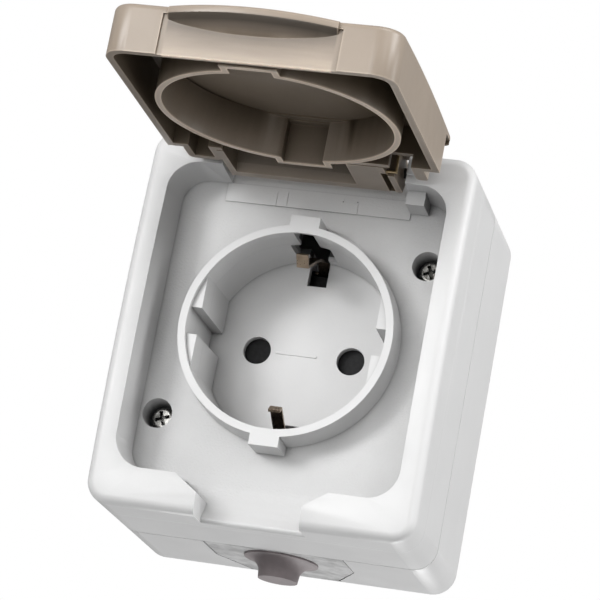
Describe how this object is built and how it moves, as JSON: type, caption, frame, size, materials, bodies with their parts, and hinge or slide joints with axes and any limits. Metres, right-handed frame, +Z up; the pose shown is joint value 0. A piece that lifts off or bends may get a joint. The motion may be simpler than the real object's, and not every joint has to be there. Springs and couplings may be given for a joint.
{
  "type": "power socket",
  "caption": "Surface-mounted earthed power socket in a light grey splash-proof box, with a taupe spring lid hinged open above a round well.",
  "frame": {"origin": "point of the wall face directly behind the axis of the socket well", "axes": "+Z up, +Y into the wall, the front faces -Y, X along the wall"},
  "size_m": [0.0644, 0.1072, 0.0836],
  "materials": {
    "housing": "satin light grey thermoplastic",
    "lid": "satin taupe thermoplastic",
    "grommet": "soft mauve-grey rubber",
    "seal": "black rubber",
    "carrier": "black thermoset",
    "brass": "bare brass",
    "plated_brass": "plated spring brass",
    "spring": "bronze spring wire",
    "steel": "zinc-plated steel"
  },
  "bodies": {
    "housing": {"front_cover": "housing", "back_box": "housing", "entry_plate": "housing", "cable_grommet": "grommet", "cover_gasket": "seal", "screw_seal_lower": "seal", "screw_seal_upper": "seal", "contact_carrier": "carrier", "shutter_spring": "steel", "contact_left": "brass", "contact_right": "brass", "earth_bracket": "plated_brass", "terminal_screw_left": "steel", "terminal_screw_right": "steel", "earth_screw": "steel", "carrier_screw_left": "steel", "carrier_screw_right": "steel", "cover_screw_lower": "steel", "cover_screw_upper": "steel", "hinge_pin": "steel"},
    "lid": {"lid": "lid", "lid_spring": "spring"},
    "shutter": {"shutter": "carrier"}
  },
  "joints": [
    {"name": "lid_hinge", "type": "hinge", "parent": "housing", "child": "lid", "pos_m": [0, -0.0422, 0.0345], "axis": [1, 0, 0], "range_deg": [-6, 90]},
    {"name": "shutter_turn", "type": "hinge", "parent": "housing", "child": "shutter", "pos_m": [0, -0.024, 0], "axis": [0, 1, 0], "range_deg": [0, 42], "stiffness_Nm_per_rad": 0.002, "springref_deg": -20.05}
  ]
}
